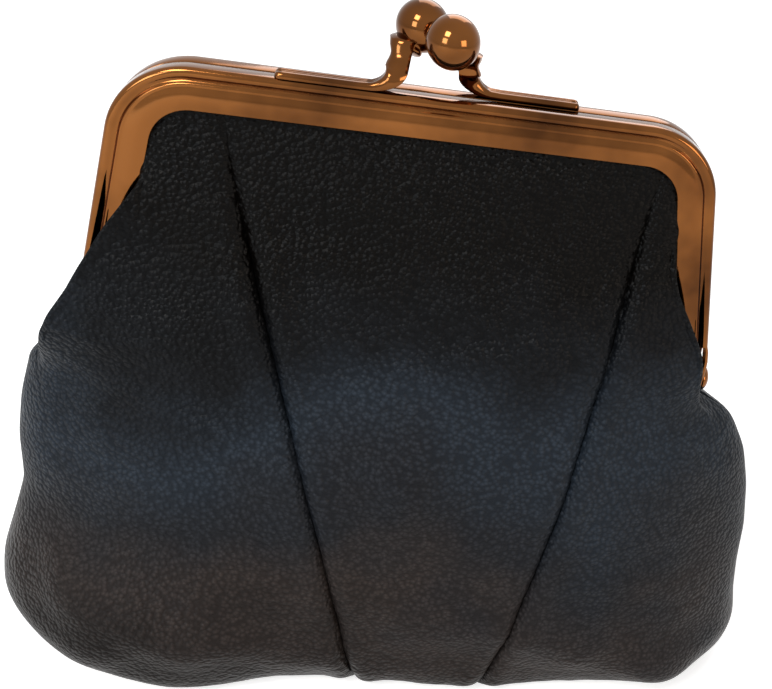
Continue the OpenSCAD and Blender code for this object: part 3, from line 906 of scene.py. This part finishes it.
@dataclass
class LeatherBag:
    """The six leather panels: each a face's left, centre or right, sewn at turned-in seams."""

    shell: BagShell = field(default_factory=BagShell)
    leather: bpy.types.Material | None = None
    thick: float = 0.9
    rows: int = 210
    centre_cols: int = 120
    side_cols: int = 92
    bend_from: float = 53.0
    bend_to: float = 75.0

    def shares(self, which: str, row: np.ndarray) -> np.ndarray:
        """Width shares of a panel's columns on a row, with both seam edges at the seam lines."""
        z = np.array(row[1])
        left_x, right_x = (float(v) for v in self.shell.seam_at(z))
        wide_r = self.shell.widths(float(row[1]), True)[0]
        wide_l = self.shell.widths(float(row[1]), False)[0]
        lo, hi = max(-0.96, left_x / wide_l), min(0.96, right_x / wide_r)
        if which == "center":
            t = np.linspace(0.0, 1.0, self.centre_cols + 1)
            return lo + (hi - lo) * (t - 0.62 * np.sin(math.tau * t) / math.tau)
        k = (1 - np.cos(np.linspace(0.0, math.pi, self.side_cols + 1))) / 2
        if which == "left":
            return -1 + (lo + 1) * k
        return (1 - (1 - hi) * k)[::-1]

    @staticmethod
    def ripples(x: np.ndarray, z: np.ndarray, spot: Callable[[float, float], Triple]) -> np.ndarray:
        """Noise at each point, read at the spot that its x and z give."""
        values = [noise.noise(spot(px, pz)) for px, pz in zip(x.ravel(), z.ravel())]
        return np.array(values).reshape(x.shape)

    def folds(self, points: np.ndarray, shares: np.ndarray, face: Face) -> np.ndarray:
        """Adds the seam valleys, stitch puckers, broad folds and fine creases.

        Args:
            points: Rows by columns by three, with Y forward.
            shares: Width shares of the points.
            face: The face they are on.

        Returns:
            The points moved in or out.
        """
        x, z = points[..., 0], points[..., 2]
        left_x, right_x = self.shell.seam_at(z)
        height = np.zeros_like(x)
        beside = self.shell.step(1 - np.abs(shares), 0.06, 0.20)
        below = np.clip((self.shell.mouth_z - 1.5 - z) / 6.0, 0.0, 1.0)
        fade = np.clip(points[..., 1] / 6.0, 0.0, 1.0) * below * beside
        near_bottom = np.clip((z - 0.2) / 2.5, 0.0, 1.0)
        for seam_x, phase in ((left_x, 0.0), (right_x, 1.3)):
            d = x - seam_x
            deep = self.shell.seam_deep * np.clip((points[..., 1] - 1.6) / 7.0, 0.15, 1.0) * near_bottom
            height -= deep * np.exp(-np.abs(d) / 0.62)
            height += 0.26 * deep * np.exp(-(((np.abs(d) - 2.6) / 2.2) ** 2))
            wave = np.sin(math.tau * z / self.shell.stitch + phase + 0.5 * np.sin(z * 0.7))
            height += 0.07 * deep * wave * np.exp(-((d / 1.7) ** 2))
        seed = 11.0 if face is Face.FRONT else 47.0
        broad = self.ripples(x, z, lambda px, pz: (px * 0.035 + seed, pz * 0.05, 0.3))
        mid = self.ripples(x, z, lambda px, pz: (px * 0.10 + 0.05 * pz, pz * 0.16 - 0.03 * px, seed))
        fine = self.ripples(x, z, lambda px, pz: (px * 0.35 + 0.2 * pz, pz * 0.62, seed + 5))
        height += (1.3 * broad + 0.42 * mid + 0.07 * fine) * fade
        dent = np.exp(-(((z - 33.0) / 6.0) ** 2)) * np.clip((-x - 40.0) / 22.0, 0.0, 1.0)
        height -= 1.3 * dent * fade
        for nub_x in (-50.0, 54.0):
            height += 1.3 * np.exp(-(((x - nub_x) / 6.5) ** 2) - ((z - 9.0) / 6.0) ** 2)
            height -= 0.7 * np.exp(-(((x - nub_x * 0.80) / 5.0) ** 2) - ((z - 12.0) / 7.0) ** 2)
            height -= 0.8 * np.exp(-(((x - nub_x * 1.16) / 5.0) ** 2) - ((z - 26.0) / 12.0) ** 2)
        height += 0.6 * np.sin((z + 0.35 * x) * 0.30) * np.exp(-(((z - 14.0) / 12.0) ** 2)) * fade
        corners = np.exp(-(((z - 66.0) / 7.0) ** 2)) * np.clip((np.abs(x) - 40.0) / 8.0, 0.0, 1.0)
        height += 0.22 * np.sin(z * 1.05 + x * 0.25) * corners * fade
        moved = points.copy()
        soft = points.copy()
        for _ in range(6):
            soft[1:-1] = (soft[:-2] + 2 * soft[1:-1] + soft[2:]) / 4
            soft[:, 1:-1] = (soft[:, :-2] + 2 * soft[:, 1:-1] + soft[:, 2:]) / 4
        gx = np.gradient(soft, axis=1)
        gz = np.gradient(soft, axis=0)
        normal = np.cross(gz, gx)
        size = np.linalg.norm(normal, axis=2, keepdims=True)
        normal = np.where(size > 1e-9, normal / np.maximum(size, 1e-9), 0.0)
        outward = np.sign(normal[points.shape[0] // 2, points.shape[1] // 2, 1]) or 1.0
        moved += normal * outward * height[..., None]
        moved[..., 2] = np.maximum(moved[..., 2], np.minimum(points[..., 2], 0.05))
        return moved

    def panel(self, which: str, face: Face) -> bpy.types.Object:
        """Builds one panel."""
        rows = self.shell.rows(self.rows)
        shares = np.array([self.shares(which, row) for row in rows])
        points = np.array([self.shell.surface(share, row) for share, row in zip(shares, rows)])
        points = self.folds(points, shares, face)
        if face is Face.FRONT:
            points[..., 1] *= -1
        else:
            points = points[:, ::-1]
        name = f"{face.name.lower()}_{which}_leather"
        obj = Workbench.grid(name, points)
        outward = Vector((0.0, float(face.value), 0.0))
        cols = points.shape[1]
        middle = obj.data.polygons[(self.rows // 2) * (cols - 1) + cols // 2]
        if middle.normal.dot(outward) < 0:
            obj.data.flip_normals()
        Workbench.apply(obj, "SOLIDIFY", thickness=self.thick * MM, offset=-1.0, use_rim=True)
        Workbench.smooth(obj, 60.0)
        Workbench.dress(obj, self.leather)
        return obj

    def build(self) -> None:
        """Builds the panels of both faces."""
        for face in Face:
            side = face.name.lower()
            for which in ("left", "center", "right"):
                obj = self.panel(which, face)
                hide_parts(f"{side}_{which}_panel", f"{side}_upper_leather")
                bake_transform(obj)
                report(obj)


@dataclass
class BagLining:
    """The cloth lining of each face, a little inside the leather, with soft hang folds."""

    shell: BagShell = field(default_factory=BagShell)
    cloth: bpy.types.Material | None = None
    inset: float = 1.5
    thick: float = 0.3
    rows: int = 90
    cols: int = 96
    bend_from: float = 53.0
    bend_to: float = 75.0

    def build(self) -> None:
        """Builds the lining of both faces."""
        for face in Face:
            side = face.name.lower()
            lines = self.shell.rows(self.rows)
            shares = np.sin(np.linspace(-math.pi / 2, math.pi / 2, self.cols + 1))
            points = np.array([self.shell.surface(shares, row) for row in lines])
            x, y, z = points[..., 0], points[..., 1], points[..., 2]
            widest = np.maximum(np.abs(x).max(axis=1, keepdims=True), 1.0)
            points[..., 0] = x * np.clip(1 - (self.inset + 0.6) / widest, 0.0, 1.0)
            hang = np.clip((self.shell.mouth_z - z) / 20.0, 0.0, 1.0)
            wave = 0.35 * np.sin(x * 0.42 + 1.3 * np.sin(z * 0.05)) * hang
            within = np.minimum(self.inset + 1.3, y * 0.36 + 0.15)
            sway = np.abs(wave) * np.clip(y / 8.0, 0.0, 1.0)
            points[..., 1] = np.maximum(0.0, y - within - sway)
            points[..., 2] = z + self.inset * np.clip(1 - z / 12.0, 0.0, 1.0)
            if face is Face.FRONT:
                points[..., 1] *= -1
            obj = Workbench.grid(f"{side}_cloth_lining", points)
            middle = obj.data.polygons[(self.rows // 2) * self.cols + self.cols // 2]
            if middle.normal.y * face.value < 0:
                obj.data.flip_normals()
            Workbench.apply(obj, "SOLIDIFY", thickness=self.thick * MM, offset=-1.0, use_rim=True)
            Workbench.smooth(obj, 60.0)
            Workbench.dress(obj, self.cloth)
            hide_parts(f"{side}_lining", f"{side}_upper_lining")
            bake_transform(obj)
            report(obj)


@dataclass(frozen=True)
class Lamp:
    """A square soft lamp: place and aim in metres, size, power in watts and tint."""

    name: str
    place: Triple
    aim: Triple
    size: float
    watts: float
    tint: Triple

    def build(self) -> None:
        """Adds the lamp, pointed at its aim."""
        light = bpy.data.lights.new(self.name, "AREA")
        light.size = self.size
        light.energy = self.watts
        light.color = self.tint
        obj = bpy.data.objects.new(self.name, light)
        bpy.context.scene.collection.objects.link(obj)
        aimed = (Vector(self.aim) - Vector(self.place)).to_track_quat("-Z", "Y").to_matrix().to_4x4()
        obj.matrix_world = Matrix.Translation(Vector(self.place)) @ aimed


@dataclass
class Studio:
    """Pale floor, soft lamps and the camera."""

    floor: bpy.types.Material | None = None
    place: Triple = (-3.38, -152.31, 157.92)
    yaw: float = 0.1917
    pitch: float = 0.5287
    roll: float = 0.1891
    focal_px: float = 1046.0
    centre_px: tuple[float, float] = (560.0, 348.0)
    frame_px: tuple[int, int] = (772, 689)
    sensor_mm: float = 36.0
    floor_reach: float = 3000.0
    floor_z: float = -0.3
    world_light: float = 0.30
    world_seen: float = 1.0
    lamps: tuple[Lamp, ...] = (
        Lamp("key", (-0.26, -0.36, 0.52), (0.0, 0.0, 0.05), 0.20, 2.2, (1.0, 0.98, 0.95)),
        Lamp("cool", (-0.46, -0.60, 0.30), (0.0, 0.0, 0.05), 0.26, 2.0, (0.80, 0.90, 1.0)),
        Lamp("warm", (0.50, -0.50, 0.26), (0.0, 0.0, 0.04), 0.26, 1.6, (1.0, 0.84, 0.70)),
        Lamp("back", (0.10, 0.60, 0.55), (0.0, 0.0, 0.08), 0.50, 2.2, (0.95, 0.97, 1.0)),
    )

    def camera(self) -> None:
        """Makes the camera at the photograph's viewing angle."""
        sy, cy = math.sin(self.yaw), math.cos(self.yaw)
        sp, cp = math.sin(self.pitch), math.cos(self.pitch)
        ahead = Vector((sy * cp, cy * cp, -sp))
        right = ahead.cross(Vector((0.0, 0.0, 1.0))).normalized()
        up = right.cross(ahead)
        cr, sr = math.cos(self.roll), math.sin(self.roll)
        across, upward = cr * right + sr * up, -sr * right + cr * up
        lens = bpy.data.cameras.new("camera")
        obj = bpy.data.objects.new("camera", lens)
        bpy.context.scene.collection.objects.link(obj)
        turn = Matrix((across, upward, -ahead)).transposed().to_4x4()
        obj.matrix_world = Matrix.Translation(Vector(self.place) * MM) @ turn
        wide, tall = self.frame_px
        lens.sensor_width = self.sensor_mm
        lens.lens = self.focal_px * self.sensor_mm / wide
        lens.shift_x = (wide / 2 - self.centre_px[0]) / wide
        lens.shift_y = (self.centre_px[1] - tall / 2) / wide
        lens.clip_start = 0.005
        bpy.context.scene.camera = obj

    def ground(self) -> None:
        """Makes the wide floor."""
        reach = np.linspace(-self.floor_reach, self.floor_reach, 9)
        obj = Workbench.grid("floor", np.array([[(x, y, self.floor_z) for x in reach] for y in reach]))
        Workbench.smooth(obj)
        Workbench.dress(obj, self.floor)

    def build(self) -> None:
        """Builds the whole studio."""
        self.camera()
        self.ground()
        for lamp in self.lamps:
            lamp.build()
        self.world()
        bpy.context.scene.view_settings.view_transform = "Standard"

    def world(self) -> None:
        """Lights plainly from all around, and shows white to the camera, metal and glass."""
        world = bpy.data.worlds.new("studio")
        bpy.context.scene.world = world
        world.use_nodes = True
        tree = world.node_tree
        base = tree.nodes["Background"]
        base.inputs["Color"].default_value = (1.0, 1.0, 1.0, 1.0)
        rays = tree.nodes.new("ShaderNodeLightPath")
        seen = rays.outputs["Is Camera Ray"]
        for kind in ("Is Glossy Ray", "Is Transmission Ray"):
            either = tree.nodes.new("ShaderNodeMath")
            either.operation = "MAXIMUM"
            tree.links.new(seen, either.inputs[0])
            tree.links.new(rays.outputs[kind], either.inputs[1])
            seen = either.outputs[0]
        level = tree.nodes.new("ShaderNodeMapRange")
        level.inputs["To Min"].default_value = self.world_light
        level.inputs["To Max"].default_value = self.world_seen
        tree.links.new(seen, level.inputs["Value"])
        tree.links.new(level.outputs["Result"], base.inputs["Strength"])


def main() -> None:
    """Builds the purse piece by piece and then the studio."""
    logging.basicConfig(level=logging.INFO, format="%(name)s: %(message)s")
    metal = MetalFinish().material()
    leather = LeatherFinish().material()
    cloth = ClothFinish().material()
    paper = PaperFinish().material()
    ChannelFrame(metal=metal).build()
    HingeRivet(metal=metal).build()
    BallClasp(metal=metal).build()
    shell = BagShell()
    LeatherBag(shell=shell, leather=leather).build()
    BagLining(shell=shell, cloth=cloth).build()
    for node in ("front_paper_cord", "rear_paper_cord"):
        Workbench.dress(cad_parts[node], paper)
        LOG.info("%s: dressed", node)
    Studio(floor=PaleFloor().material()).build()
    Workbench.clear()


if __name__ == "__main__":
    main()
